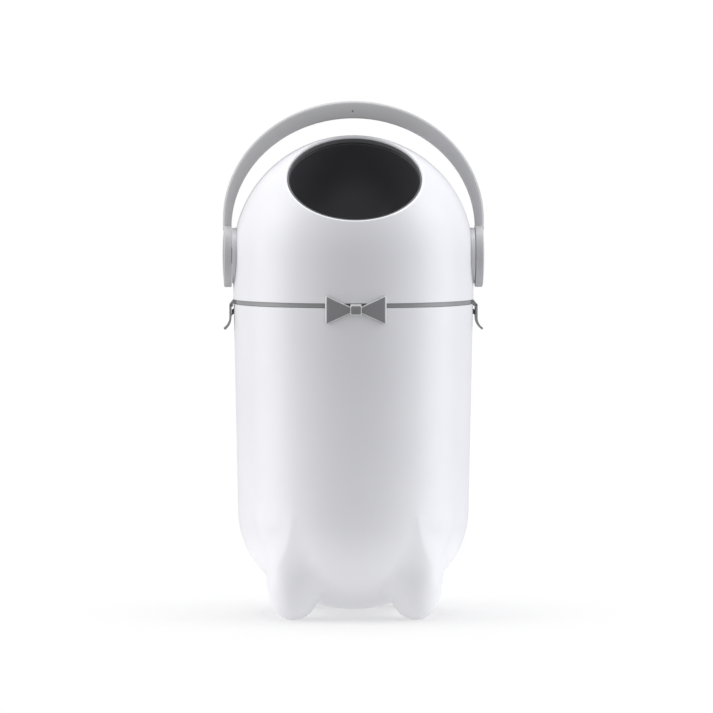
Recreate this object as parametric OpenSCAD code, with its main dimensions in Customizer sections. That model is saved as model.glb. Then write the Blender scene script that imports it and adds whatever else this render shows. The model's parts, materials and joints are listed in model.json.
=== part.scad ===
// Nappy bin: a round bin on four hollow feet, under a domed head with a round inlet.
// The carrying handle turns a round drum inside the head, which tips the nappy into the bin.
// Millimetres. X is to the right, the front faces -Y, Z is up. The origin is on the floor,
// on the axis of the bin.

/* [Bin] */
// Outer radius of the bin at its rim
bin_r = 135.2; // [133:0.1:137]
// Height of the bin's rim above the floor
rim_z = 351.4; // [340:0.1:356]
// How much the radius shrinks from the rim to where the rounded bottom begins
bin_taper = 4.8; // [2:0.1:7]
// Height at which the rounded bottom begins
bowl_z = 117.2; // [112:0.1:130]
// Height of the rounded bottom's lowest point above the floor
belly_clear = 5.3; // [4.5:0.1:14]
// Wall thickness of the bin
bin_wall = 2.6; // [2:0.1:3.2]

/* [Feet] */
// Distance from a foot's outermost side to the bin's side
foot_inset = 3.3; // [2:0.1:8]
// Radius of a foot at its belly
foot_r = 30.2; // [27:0.1:31]
// Height of a foot's belly above its rounded end
foot_belly_h = 48; // [44:0.5:52]
// Radius of the curve down a foot's side
foot_side_r = 91; // [84:1:100]
// Radius of the flat sole
sole_r = 5; // [4:0.5:8]

/* [Head] */
// How far the dome stands out beyond the bin's rim
dome_over = 0.5; // [0:0.1:1]
// Height of the dome's centre and of the handle's pivot
pivot_z = 405.7; // [396:0.1:420]
// Wall thickness of the dome
dome_wall = 2.6; // [2:0.1:3]
// Radius of the round pads beside the handle's hubs
pad_r = 31.2; // [28:0.1:34]
// How far the face of each pad stands out from the dome
pad_rise = 1.3; // [0.8:0.1:2]

/* [Inlet] */
// Radius of the hole in the dome
inlet_r = 75.1; // [68:0.1:80]
// Height angle of the inlet's axis above the horizontal
inlet_angle = 53; // [48:0.5:60]
// Radius of the rounded rim of the hole
rim_round = 2.4; // [1.6:0.1:2.6]
// Thickness of the dome round the hole
rim_depth = 5; // [4.8:0.1:5.6]
// Thickness of the trim ring in the hole
trim_t = 1.6; // [1.2:0.1:2.4]
// Width of the trim ring's flange behind the dome
trim_flange = 9; // [7:0.5:12]
// Width of the soft wiper seal
seal_w = 5; // [3:0.5:6]

/* [Drum] */
// Gap between the drum and the trim ring's flange
drum_gap = 2; // [1.4:0.1:3]
// Wall thickness of the drum
drum_wall = 2.4; // [2:0.1:3]
// Radius of the drum's mouth
mouth_r = 74; // [66:0.1:76]
// Radius of the rounded lip at the mouth
lip_r = 1.9; // [1.3:0.1:2.4]
// Distance of the drum's joint behind its pivot
joint_back = 22; // [19:0.5:30]
// Overlap of the two halves of the drum
joint_lap = 5; // [3:0.5:8]
// How far the boss for the axle reaches into the drum
boss_reach = 7; // [5:0.5:10]
// Wall of the boss outside the axle's head
boss_wall = 2; // [1.5:0.5:4]

/* [Pivots] */
// Radius of the axle where it turns
axle_r = 9; // [7:0.5:10]
// Radius of the axle's head inside the drum
axle_head_r = 15; // [13:0.5:17]
// Thickness of the axle's head
axle_head_t = 3; // [2:0.5:4]
// Corner radius of the hexagon that drives the drum
drum_hex_r = 12; // [11:0.5:12.5]
// Corner radius of the hexagon that drives the axle from the handle
hub_hex_r = 8; // [6:0.5:8.5]
// Depth of the handle's hexagonal socket
hub_hex_depth = 3.2; // [2.5:0.1:4]
// Wall of the bush in the dome
bush_wall = 3; // [2:0.5:4]
// Radius of the bush's flange
bush_flange_r = 15.5; // [14:0.5:17]
// Thickness of the bush's flange
bush_flange_t = 2.4; // [2:0.1:2.8]
// Radius of the screw in each hub
screw_r = 2; // [1.5:0.1:2.5]
// Length of the screw under its head
screw_len = 14; // [10:1:16]
// Radius of the screw's head
screw_head_r = 4.5; // [4:0.5:6]
// Height of the screw's head
screw_head_t = 2; // [1.5:0.1:2.2]

/* [Handle] */
// Gap for the fingers between the dome's top and the handle
finger_gap = 19; // [16:0.1:30]
// Width of each hub, along the pivot
hub_w = 9.7; // [9:0.1:13]
// Height above the pivot at which the outer edge starts to curve
outer_spring = 41.3; // [36:0.1:46]
// Height above the pivot at which the inner edge starts to curve
inner_spring = 30.4; // [26:0.2:34]
// Thickness of the handle's legs
leg_t = 9.5; // [8:0.1:9.6]
// Thickness of the handle at its top
grip_t = 19.6; // [14:0.2:21]
// Depth of the handle from front to back
strap_w = 24; // [18:0.5:30]
// Radius of the handle's outer edges
strap_round = 4.2; // [2:0.1:6]
// Radius of the hubs
hub_r = 35.7; // [33:0.1:38]
// How far the hub's outer face falls away towards its edge
hub_crown = 1.2; // [1:0.1:3]
// Radius of the cap in each hub
cap_r = 27; // [22:0.5:30]
// How far the cap's middle stands out from the hub's face
cap_crown = 0.4; // [0.3:0.1:1.5]
// Wall thickness of the cap
cap_wall = 1.6; // [1.2:0.1:2]

/* [Collar] */
// Height of the grey band between bin and head
band_h = 4.9; // [4:0.1:6]
// How far the band lies behind the bin's outer face
band_recess = 1.7; // [1:0.1:2]
// Wall thickness of the collar
collar_wall = 3; // [2.6:0.1:3.6]
// Depth of the collar's lower edge inside the bin
skirt_depth = 6.5; // [6:0.5:8]
// Height of the collar's upper edge inside the dome
spigot_h = 8; // [5:0.5:12]
// Radius of the round gasket in the collar's lower edge
gasket_r = 1.1; // [0.9:0.1:1.3]

/* [Bag ring] */
// Depth of the bag ring's ledge below the rim
ledge_depth = 26; // [24:0.5:34]
// Width of the ledge
ledge_w = 4; // [3:0.5:6]
// Height of the bag ring
bag_ring_h = 14; // [10:0.5:16]
// Width of the bag ring
bag_ring_w = 9; // [6:0.5:12]
// Wall thickness of the bag ring
bag_ring_wall = 2; // [1.5:0.1:3]

/* [Clips] */
// Distance of the clip's pin outside the bin
pin_out = 2.8; // [2.7:0.1:4]
// Depth of the clip's pin below the bin's rim
pin_drop = 1.4; // [0.6:0.1:2]
// Radius of the clip's pin
pin_r = 1; // [0.8:0.1:1.2]
// Radius of the clip's knuckle and of the ears
knuckle_r = 2.1; // [1.9:0.1:2.2]
// Width of a clip
clip_w = 26; // [18:0.5:30]
// Thickness of a clip's lever
lever_t = 2.4; // [1.8:0.1:2.4]
// Length of the straight part of the lever below the pin
lever_len = 14; // [13.5:0.5:20]
// Radius of the curve at the lever's finger tip
tip_r = 14.5; // [9:0.5:18]
// Sweep of that curve, in degrees
tip_sweep = 56; // [35:1:60]
// Depth of the catch's underside below the pin
catch_drop = 10.2; // [9:0.1:11]
// Height of the catch on the bin
catch_h = 6; // [4:0.1:6.5]
// Width of the catch on the bin
catch_w = 18; // [12:0.5:24]
// Thickness of the tooth that hooks under the catch
tooth_t = 3; // [2:0.1:3.2]
// Width of each ear that holds the pin
ear_w = 3; // [2:0.1:4]

/* [Bow tie] */
// Width of the bow tie
bow_w = 64; // [50:0.2:72]
// Height of the bow tie at its ends
bow_h = 30.8; // [24:0.2:36]
// Height of the bow tie beside the knot
bow_waist = 7; // [5:0.2:11]
// Depth of the bow tie's middle below the bin's rim
bow_drop = 2; // [0:0.1:6]
// Thickness of the bow tie's wings
bow_t = 4; // [3:0.1:5]
// Broken corners of the wings
bow_corner = 1.6; // [0.8:0.1:3]
// Width of the knot
knot_w = 12.4; // [11:0.2:16]
// Height of the knot
knot_h = 13.4; // [12:0.2:18]
// How far the knot stands proud of the wings
knot_rise = 2.2; // [1.5:0.1:3]
// Radius of the bow tie's pegs
peg_r = 2.4; // [2:0.1:2.6]
// Distance of the pegs from the middle
peg_x = 17; // [16:0.5:20]
// Depth of the pegs below the bow tie's middle
peg_drop = 5.8; // [5.5:0.1:6.5]

/* [Fits] */
// Radial gap of a shaft that turns in a hole
run_gap = 0.06; // [0.02:0.01:0.1]
// Gap between two fixed pieces that fit in each other
fix_gap = 0.1; // [0.05:0.01:0.2]
// Gap between a piece and the seat that it rests on
seat_gap = 0.3; // [0.2:0.05:0.4]
// Gap beside a piece that slides or turns past another
pass_gap = 0.5; // [0.4:0.05:0.6]

/* [Hidden] */
$fn = 96;

// Colours, from the photograph
WHITE = [0.93, 0.93, 0.95];
GREY = [0.56, 0.56, 0.58];
DARK = [0.36, 0.36, 0.38];
RUBBER = [0.22, 0.22, 0.23];
STEEL = [0.75, 0.76, 0.78];

over = 1;                        // how far a cutting shape runs past what it cuts
edge = 0.8;                      // small broken edge on rims
bowl_steps = 18;                 // flats that stand for a quarter of the bottom's curve
foot_bury = 4;                   // how far a foot's top lies inside the body
ledge_slope = 9;                 // height of the slope under the bag ring's ledge
knot_wrap = 1;                   // how far the wings' waist reaches past the knot's sides
peg_past = 1.2;                  // how far a peg reaches past the bin's wall
seal_offset = 2;                 // distance of the wiper seal from the inlet's edge
ear_rise = 0.4;                  // height of an ear's shoulder above the pin
hub_floor_t = 1.3;               // thickness of the hub's floor under the screw's head

// Main radii
waist_r = bin_r - bin_taper;
bowl_drop = bowl_z - belly_clear;
dome_r = bin_r + dome_over;
dome_in_r = dome_r - dome_wall;

// Heights of the seam, from the bin's rim upwards
band_z = rim_z + seat_gap;
dome_z = band_z + band_h;

// Radii of the collar and of what it fits
band_r = bin_r - band_recess;
skirt_r = bin_r - bin_wall - pass_gap;
spigot_r = dome_r - dome_wall - fix_gap;
collar_in_r = skirt_r - collar_wall;

// Radii inside the inlet, from the rounded rim inwards to the drum
rim_x = inlet_r + rim_round;
rim_y = sqrt(pow(dome_r - rim_round, 2) - rim_x * rim_x);
flange_t = 1.6;
flange_out_r = dome_r - rim_depth - fix_gap;
flange_in_r = flange_out_r - flange_t;
trim_out_r = inlet_r - fix_gap;
trim_in_r = trim_out_r - trim_t;
drum_r = flange_in_r - drum_gap;
drum_in_r = drum_r - drum_wall;
drum_lap_r = drum_r - drum_wall / 2;

// Faces along X, from the drum outwards
pad_x = dome_r + pad_rise;
bush_seat_x = dome_in_r - edge;
bush_in_x = bush_seat_x - bush_flange_t;
drum_boss_x = bush_in_x - pass_gap;
drum_boss_in_x = drum_in_r - boss_reach;
drum_boss_r = axle_head_r + boss_wall;
hub_in_x = pad_x + pass_gap;
hub_floor_x = hub_in_x + hub_hex_depth + hub_floor_t;
hub_out_x = hub_in_x + hub_w;

// Places on the clips, on the right-hand side
pin_x = bin_r + pin_out;
pin_z = rim_z - pin_drop;
lever_out_x = pin_x + knuckle_r;
lever_in_x = lever_out_x - lever_t;
catch_z = pin_z - catch_drop;
catch_x = lever_in_x - seat_gap;
tooth_x = bin_r + pass_gap + seat_gap;

// Places on the bow tie, on the front
bow_z = rim_z - bow_drop;
bow_in_r = dome_r + pass_gap;
bow_out_r = bow_in_r + bow_t;
peg_z = bow_z - peg_drop;

// Bag ring
ledge_z = rim_z - ledge_depth;
ledge_in_r = bin_radius(ledge_z) - bin_wall - ledge_w;
bag_ring_z = ledge_z + seat_gap;
bag_ring_r = bin_radius(ledge_z) - bin_wall - pass_gap;

// Feet: where they stand, and the rounded end that meets the curve of the side
foot_offset = (waist_r - foot_inset - foot_r) / sqrt(2);
foot_top_z = bowl_z - bowl_drop * sqrt(1 - pow(1 - foot_inset / waist_r, 2)) + foot_bury;
foot_side_x = foot_r - foot_side_r;
foot_tip_r = (pow(foot_side_r, 2) - pow(foot_side_x, 2) - pow(foot_belly_h, 2))
    / (2 * (foot_side_r - foot_belly_h));
foot_tip_z = sqrt(foot_tip_r * foot_tip_r - sole_r * sole_r);
foot_belly_z = foot_belly_h - foot_tip_r + foot_tip_z;

// Outer radius of the bin's tapered wall at a height
function bin_radius(z) = waist_r + (bin_r - waist_r) * (z - bowl_z) / (rim_z - bowl_z);

// Points down a quarter ellipse, from the wall to the lowest point of the bottom
function bowl_curve(a, b) = [
    for (i = [0:bowl_steps])
        let (t = 90 * i / bowl_steps)
        [a * cos(t), bowl_z - b * sin(t)]
];

// Turns a shape made on the right-hand side to the left-hand side
module on_left() {
    rotate([0, 0, 180]) children();
}

// A cylinder along X between two faces
module bar_x(r, x1, x2, n = 96) {
    translate([x1, 0, 0]) rotate([0, 90, 0]) cylinder(r = r, h = x2 - x1, $fn = n);
}

// Part of a round wall, seen in section: between two radii and two distances from the axis
module wall_section(r_in, r_out, x_in, x_out) {
    intersection() {
        difference() {
            circle(r_out);
            circle(r_in);
        }
        translate([x_in, 0]) square([x_out - x_in, r_out + over]);
    }
}

// Puts a shape made round the Z axis onto the inlet's axis
module on_inlet() {
    translate([0, 0, pivot_z]) rotate([90 - inlet_angle, 0, 0]) children();
}

// ---- Bin ----

// Half section of the bin's body, without its feet
module bin_half(inset, top) {
    polygon(concat(
        [[0, top], [bin_r - inset - (inset == 0 ? edge : 0), top]],
        [[bin_r - inset, rim_z - edge]],
        bowl_curve(waist_r - inset, bowl_drop - inset)
    ));
}

// Half section of a foot: a round end that runs into a curved side, cut flat at its sole
module foot_half(inset) {
    run = [-foot_side_x, foot_tip_z - foot_belly_z];
    past = 2 * foot_r * run / norm(run);
    intersection() {
        union() {
            translate([0, foot_tip_z]) circle(foot_tip_r - inset);
            intersection() {
                translate([foot_side_x, foot_belly_z]) circle(foot_side_r - inset);
                polygon([
                    [0, foot_tip_z], [past[0], foot_tip_z + past[1]],
                    [past[0], foot_belly_z], [0, foot_belly_z]
                ]);
            }
            translate([0, foot_belly_z]) square([foot_r - inset, foot_top_z - foot_belly_z]);
        }
        translate([0, inset]) square([foot_r + over, foot_top_z]);
    }
}

// Catch on the bin's side, with a sloped top for the tooth to ride over
module catch() {
    rotate([90, 0, 0])
        linear_extrude(height = catch_w, center = true)
            polygon([
                [bin_r - bin_wall, catch_z], [catch_x, catch_z],
                [catch_x, catch_z + catch_h - edge * 2], [bin_r, catch_z + catch_h],
                [bin_r - bin_wall, catch_z + catch_h]
            ]);
}

module bin_shell() {
    color(WHITE)
    difference() {
        union() {
            difference() {
                rotate_extrude() bin_half(0, rim_z);
                rotate_extrude() bin_half(bin_wall, rim_z + over);
                // Openings into the hollow feet
                for (x = [-1, 1])
                    for (y = [-1, 1])
                        translate([x * foot_offset, y * foot_offset, 0])
                            rotate_extrude() foot_half(bin_wall);
            }
            catch();
            on_left() catch();
            // Ledge for the bag ring, sloped below
            rotate_extrude()
                polygon([
                    [ledge_in_r, ledge_z], [ledge_in_r, ledge_z - bag_ring_wall],
                    [bin_radius(ledge_z - ledge_slope) - bin_wall + edge, ledge_z - ledge_slope],
                    [bin_radius(ledge_z) - bin_wall + edge, ledge_z]
                ]);
        }
        for (x = [-peg_x, peg_x])
            translate([x, 0, peg_z])
                rotate([90, 0, 0]) cylinder(r = peg_r + fix_gap, h = bin_r + over);
    }
}

// Hollow foot in the corner given by the signs x and y, up to the bin's rounded bottom
module foot(x, y) {
    color(WHITE)
    difference() {
        translate([x * foot_offset, y * foot_offset, 0])
            rotate_extrude()
                difference() {
                    foot_half(0);
                    foot_half(bin_wall);
                }
        rotate_extrude() bin_half(0, rim_z);
    }
}

module front_left_foot() {
    foot(-1, -1);
}

module front_right_foot() {
    foot(1, -1);
}

module rear_left_foot() {
    foot(-1, 1);
}

module rear_right_foot() {
    foot(1, 1);
}

// ---- Bow tie ----

// Outline of both wings, seen from the front, with broken corners
module bow_outline(grow = 0) {
    neck_x = knot_w / 2 - knot_wrap;
    neck_z = bow_waist / 2 + grow;
    end_x = bow_w / 2;
    end_z = bow_h / 2 + grow;
    slope = (end_z - neck_z) / (end_x - neck_x);
    wing = [
        [neck_x, neck_z], [end_x - bow_corner, end_z - bow_corner * slope],
        [end_x, end_z - bow_corner * (1 + slope)]
    ];
    turned = [for (i = [len(wing) - 1:-1:0]) wing[i]];
    polygon(concat(
        wing,
        [for (p = turned) [p[0], -p[1]]],
        [for (p = wing) [-p[0], -p[1]]],
        [for (p = turned) [-p[0], p[1]]]
    ));
}

module bow_wings() {
    color(GREY)
    union() {
        intersection() {
            translate([0, 0, bow_z - bow_h])
                difference() {
                    cylinder(r = bow_out_r, h = 2 * bow_h);
                    translate([0, 0, -over]) cylinder(r = bow_in_r, h = 2 * bow_h + 2 * over);
                }
            translate([0, 0, bow_z])
                rotate([90, 0, 0]) linear_extrude(height = bow_out_r + over) bow_outline();
        }
        // Pegs that snap into the bin's wall
        for (x = [-peg_x, peg_x])
            translate([x, 0, peg_z])
                rotate([90, 0, 0])
                    translate([0, 0, bin_r - bin_wall - peg_past])
                        cylinder(r = peg_r, h = bow_in_r + bow_t / 2 - bin_r + bin_wall + peg_past);
    }
}

// Knot: a rounded band round the middle of the wings
module bow_knot() {
    color(GREY)
    difference() {
        translate([0, 0, bow_z])
            rotate([90, 0, 0])
                translate([0, 0, bow_in_r - edge / 4])
                    linear_extrude(height = bow_t + knot_rise + edge / 4)
                        square([knot_w, knot_h], center = true);
        // Rounded front, about a vertical line
        translate([0, -bow_out_r - knot_rise + knot_h, bow_z])
            rotate([0, 90, 0])
                difference() {
                    translate([0, -knot_h, 0])
                        cube([knot_h + 2 * over, 2 * knot_h, knot_w + 2 * over], center = true);
                    cylinder(r = knot_h, h = knot_w + 3 * over, center = true);
                }
        // Room for the waist of the wings
        intersection() {
            translate([0, 0, bow_z])
                rotate([90, 0, 0])
                    linear_extrude(height = bow_out_r + fix_gap) bow_outline(fix_gap);
            translate([0, 0, bow_z]) cylinder(r = bow_out_r + fix_gap, h = 2 * knot_h, center = true);
        }
    }
}

// ---- Bag ring ----

module bag_ring() {
    color(GREY)
    translate([0, 0, bag_ring_z])
        rotate_extrude()
            polygon([
                [bag_ring_r - bag_ring_w, 0], [bag_ring_r, 0], [bag_ring_r, bag_ring_h - edge],
                [bag_ring_r - edge, bag_ring_h], [bag_ring_r - bag_ring_wall, bag_ring_h],
                [bag_ring_r - bag_ring_wall, bag_ring_wall],
                [bag_ring_r - bag_ring_w, bag_ring_wall]
            ]);
}

// ---- Head ----

// Half section of the head about the pivot's height: a round top over a straight wall
module dome_half(r, bottom) {
    intersection() {
        circle(r);
        square([r, r]);
    }
    translate([0, bottom]) square([r, -bottom]);
}

// Half section of what the inlet cuts away: the hole and the space over its rounded rim
module inlet_half() {
    past = (dome_r + over) / (dome_r - rim_round);
    difference() {
        polygon([
            [0, 0], [inlet_r, 0], [inlet_r, rim_y], [rim_x, rim_y],
            [rim_x * past, rim_y * past], [rim_x * past, dome_r + over], [0, dome_r + over]
        ]);
        translate([rim_x, rim_y]) circle(rim_round);
    }
}

module dome_shell() {
    drop = dome_z - pivot_z;
    color(WHITE)
    difference() {
        union() {
            translate([0, 0, pivot_z])
                difference() {
                    union() {
                        rotate_extrude() dome_half(dome_r, drop);
                        bar_x(pad_r, drum_r, pad_x);
                        on_left() bar_x(pad_r, drum_r, pad_x);
                    }
                    rotate_extrude() dome_half(dome_in_r, drop - over);
                    bar_x(bush_flange_r + fix_gap, 0, bush_seat_x);
                    on_left() bar_x(bush_flange_r + fix_gap, 0, bush_seat_x);
                    bar_x(axle_r + bush_wall + fix_gap, 0, pad_x + over);
                    on_left() bar_x(axle_r + bush_wall + fix_gap, 0, pad_x + over);
                }
            // Thicker wall round the hole
            on_inlet()
                rotate_extrude()
                    wall_section(dome_r - rim_depth, dome_r - dome_wall / 2,
                        inlet_r - over, inlet_r + trim_flange + over);
        }
        on_inlet() rotate_extrude() inlet_half();
    }
}

// Trim ring in the inlet: a stem that ends at the rounded rim, and a flange behind the dome
module inlet_ring() {
    color(DARK)
    on_inlet()
        rotate_extrude()
            union() {
                wall_section(drum_r + pass_gap, norm([inlet_r, rim_y]), trim_in_r, trim_out_r);
                wall_section(flange_in_r, flange_out_r, trim_in_r + trim_t / 2, inlet_r + trim_flange);
            }
}

// Soft wiper between the trim ring and the drum
module inlet_seal() {
    color(RUBBER)
    on_inlet()
        rotate_extrude()
            wall_section(drum_r + seat_gap, flange_in_r, inlet_r + seal_offset, inlet_r + seal_offset + seal_w);
}

// One ear that holds the clip's pin, seen from the front
module ear_outline() {
    polygon([
        [band_r - collar_wall / 2, band_z], [pin_x - knuckle_r, band_z],
        [pin_x - knuckle_r, pin_z], [pin_x + knuckle_r, pin_z],
        [pin_x + knuckle_r, pin_z + ear_rise], [pin_x - knuckle_r - edge / 2, dome_z - 2 * seat_gap],
        [band_r - collar_wall / 2, dome_z - 2 * seat_gap]
    ]);
    translate([pin_x, pin_z]) circle(knuckle_r);
}

module ears() {
    inner_y = clip_w / 2 + seat_gap;
    for (y = [inner_y + ear_w, -inner_y])
        translate([0, y, 0])
            rotate([90, 0, 0])
                linear_extrude(height = ear_w)
                    difference() {
                        ear_outline();
                        translate([pin_x, pin_z]) circle(pin_r + run_gap / 2);
                    }
}

// Grey collar: a band that shows, a lower edge inside the bin and an upper edge in the dome
module collar_ring() {
    groove_z = band_z - skirt_depth / 2;
    color(GREY)
    union() {
        rotate_extrude()
            difference() {
                polygon([
                    [collar_in_r, band_z - skirt_depth], [skirt_r - edge, band_z - skirt_depth],
                    [skirt_r, band_z - skirt_depth + edge], [skirt_r, band_z], [band_r, band_z],
                    [band_r, dome_z], [spigot_r, dome_z], [spigot_r, dome_z + spigot_h - edge],
                    [spigot_r - edge, dome_z + spigot_h], [collar_in_r, dome_z + spigot_h]
                ]);
                translate([skirt_r + seat_gap / 2 - 2 * gasket_r, groove_z - gasket_r])
                    square([4 * gasket_r, 2 * gasket_r]);
            }
        ears();
        on_left() ears();
    }
}

// Round gasket in the collar's lower edge
module head_gasket() {
    groove_z = band_z - skirt_depth / 2;
    color(RUBBER)
    translate([0, 0, groove_z])
        rotate_extrude()
            translate([skirt_r + seat_gap / 2 - gasket_r, 0]) circle(gasket_r);
}

// Flanged bush, pressed into the dome's pad from inside
module bush() {
    color(DARK)
    translate([0, 0, pivot_z])
        difference() {
            union() {
                bar_x(bush_flange_r, bush_in_x, bush_seat_x);
                bar_x(axle_r + bush_wall, bush_in_x, pad_x - fix_gap);
            }
            bar_x(axle_r + run_gap, bush_in_x - over, pad_x + over);
        }
}

module left_bush() {
    on_left() bush();
}

module right_bush() {
    bush();
}

// ---- Clips ----

module clip_pin() {
    length = clip_w + 2 * seat_gap + 2 * ear_w;
    color(STEEL)
    translate([pin_x, 0, pin_z])
        rotate([90, 0, 0]) cylinder(r = pin_r, h = length, center = true);
}

module left_clip_pin() {
    on_left() clip_pin();
}

module right_clip_pin() {
    clip_pin();
}

// Side view of a clip: knuckle, straight lever, curved finger tip and tooth
module clip_outline() {
    bend_z = pin_z - lever_len;
    translate([pin_x, pin_z]) circle(knuckle_r);
    translate([lever_in_x, bend_z]) square([lever_t, lever_len]);
    translate([lever_out_x + tip_r, bend_z])
        intersection() {
            difference() {
                circle(tip_r + lever_t);
                circle(tip_r);
            }
            polygon([
                [0, 0], [-3 * tip_r, 0], [-3 * tip_r, -3 * tip_r * tan(tip_sweep)]
            ]);
        }
    polygon([
        [lever_in_x + lever_t / 2, catch_z - seat_gap], [tooth_x, catch_z - seat_gap],
        [lever_in_x + lever_t / 2, catch_z - seat_gap - tooth_t]
    ]);
}

module clip() {
    color(GREY)
    rotate([90, 0, 0])
        linear_extrude(height = clip_w, center = true)
            difference() {
                clip_outline();
                translate([pin_x, pin_z]) circle(pin_r + run_gap);
            }
}

module left_clip() {
    on_left() clip();
}

module right_clip() {
    clip();
}

// ---- Drum ----

// A round wall between two distances along the inlet's axis
module drum_section(r_in, r_out, low, high) {
    intersection() {
        difference() {
            circle(r_out);
            circle(r_in);
        }
        translate([0, low]) square([r_out + over, high - low]);
    }
}

// Front of the drum: from its mouth to behind the pivot, with a boss for each axle
module drum_front() {
    lip_x = mouth_r + lip_r;
    lip_y = sqrt((drum_r - lip_r) * (drum_r - lip_r) - lip_x * lip_x);
    color(DARK)
    difference() {
        union() {
            on_inlet()
                rotate_extrude() {
                    difference() {
                        drum_section(drum_in_r, drum_r, -joint_back, drum_r);
                        square([lip_x, drum_r + over]);
                    }
                    translate([lip_x, lip_y]) circle(lip_r);
                    drum_section(drum_in_r, drum_lap_r - fix_gap / 2, -joint_back - joint_lap, 1 - joint_back);
                }
            translate([0, 0, pivot_z]) {
                bar_x(drum_boss_r, drum_boss_in_x, drum_boss_x);
                on_left() bar_x(drum_boss_r, drum_boss_in_x, drum_boss_x);
            }
        }
        translate([0, 0, pivot_z])
            bar_x(drum_hex_r + fix_gap, -dome_r, dome_r, 6);
    }
}

// Back of the drum: a round bowl whose edge laps over the front
module drum_rear() {
    color(DARK)
    on_inlet()
        rotate_extrude() {
            drum_section(drum_in_r, drum_r, -drum_r, -joint_back - joint_lap);
            drum_section(drum_lap_r, drum_r, -joint_back - joint_lap - 1, -joint_back);
        }
}

// Axle, pushed out from inside the drum: head, hexagon, round journal and end hexagon
module axle() {
    head_x = drum_boss_in_x;
    end_x = hub_in_x + hub_hex_depth - fix_gap;
    color(DARK)
    translate([0, 0, pivot_z])
        difference() {
            union() {
                bar_x(axle_head_r, head_x - axle_head_t, head_x);
                bar_x(drum_hex_r, head_x, drum_boss_x, 6);
                bar_x(axle_r, drum_boss_x, hub_in_x);
                bar_x(hub_hex_r, hub_in_x, end_x, 6);
            }
            bar_x(screw_r, hub_floor_x - screw_len - over, end_x + over);
        }
}

module left_axle() {
    on_left() axle();
}

module right_axle() {
    axle();
}

// ---- Handle ----

handle_rise = dome_r + finger_gap + grip_t;
inner_half_w = hub_out_x - leg_t;
strap_steps = 56;

// Inner and outer point of the handle at a station, as X and Z above the pivot
function strap_in(t) = [inner_half_w * cos(t), inner_spring + (handle_rise - grip_t - inner_spring) * sin(t)];
function strap_out(t) = [hub_out_x * cos(t), outer_spring + (handle_rise - outer_spring) * sin(t)];

// Cross-section: distance from the inner edge, and depth, with rounded edges
function strap_ring(t) =
    let (
        w = strap_w / 2,
        r = strap_round,
        s = edge * 1.5,
        m = r * (1 - cos(45)),
        l = norm(strap_out(t) - strap_in(t))
    )
    [
        [0, s - w], [s, -w], [l - r, -w], [l - m, m - w], [l, r - w],
        [l, w - r], [l - m, w - m], [l - r, w], [s, w], [0, w - s]
    ];

// The section at station t, moved down by drop where the legs are straight
function strap_station(t, drop) =
    let (
        a = strap_in(t),
        b = strap_out(t),
        d = (b - a) / norm(b - a)
    )
    [for (p = strap_ring(t)) [a[0] + d[0] * p[0], p[1], a[1] + d[1] * p[0] - drop]];

// Foot of a leg, level with the pivot, inside the hub
function strap_foot(side) = [
    for (p = strap_ring(side > 0 ? 0 : 180))
        [side * (inner_half_w + p[0] * leg_t / norm(strap_out(0) - strap_in(0))), p[1], 0]
];

module strap() {
    rings = concat(
        [strap_foot(1)],
        [for (i = [0:strap_steps]) strap_station(180 * i / strap_steps, 0)],
        [strap_foot(-1)]
    );
    count = len(rings[0]);
    last = len(rings) - 1;
    points = [for (ring = rings) for (p = ring) p];
    sides = [
        for (i = [0:last - 1])
            for (j = [0:count - 1])
                let (k = (j + 1) % count)
                [i * count + j, i * count + k, (i + 1) * count + k, (i + 1) * count + j]
    ];
    triangles = [for (q = sides) for (f = [[q[0], q[2], q[1]], [q[0], q[3], q[2]]]) f];
    ends = [
        [for (j = [0:count - 1]) j],
        [for (j = [count - 1:-1:0]) last * count + j]
    ];
    polyhedron(points = points, faces = concat(triangles, ends));
}

// How far out the hub's crowned face lies at a radius
function hub_face_x(r) = hub_out_x - hub_crown * pow(r / hub_r, 2);

// Round hub with a crowned face and broken edges
module hub() {
    rim_r = hub_r - 2 * edge;
    face = [for (i = [0:8]) let (r = rim_r * (1 - i / 8)) [r, hub_face_x(r)]];
    rotate([0, 90, 0])
        rotate_extrude()
            polygon(concat(
                [[0, hub_in_x], [hub_r - edge, hub_in_x], [hub_r, hub_in_x + edge]],
                [[hub_r, hub_face_x(hub_r) - edge]],
                face
            ));
}

module hub_cuts() {
    bar_x(hub_hex_r + fix_gap, hub_in_x - over, hub_in_x + hub_hex_depth, 6);
    bar_x(screw_r + fix_gap, hub_in_x, hub_floor_x + over);
    bar_x(cap_r + fix_gap, hub_floor_x, hub_out_x + over);
}

module handle() {
    color(GREY)
    translate([0, 0, pivot_z])
        difference() {
            union() {
                strap();
                hub();
                on_left() hub();
            }
            hub_cuts();
            on_left() hub_cuts();
        }
}

// Pan-head screw that holds the handle on the axle
module hub_screw() {
    color(STEEL)
    translate([0, 0, pivot_z])
        difference() {
            union() {
                bar_x(screw_r, hub_floor_x - screw_len, hub_floor_x + screw_head_t / 2);
                bar_x(screw_head_r, hub_floor_x, hub_floor_x + screw_head_t);
            }
            bar_x(screw_head_r / 2, hub_floor_x + screw_head_t / 2, hub_floor_x + screw_head_t + over, 6);
        }
}

module left_screw() {
    on_left() hub_screw();
}

module right_screw() {
    hub_screw();
}

// Cap over the screw, crowned like the hub's face
module hub_cap() {
    inside_x = hub_face_x(cap_r) - cap_wall;
    crown = [for (i = [0:8]) let (r = cap_r * i / 8) [r, hub_face_x(r) + cap_crown * (1 - pow(i / 8, 2))]];
    color(GREY)
    translate([0, 0, pivot_z])
        rotate([0, 90, 0])
            rotate_extrude()
                polygon(concat(crown, [
                    [cap_r, hub_floor_x], [cap_r - cap_wall, hub_floor_x],
                    [cap_r - cap_wall, inside_x], [0, inside_x]
                ]));
}

module left_hub_cap() {
    on_left() hub_cap();
}

module right_hub_cap() {
    hub_cap();
}

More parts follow.
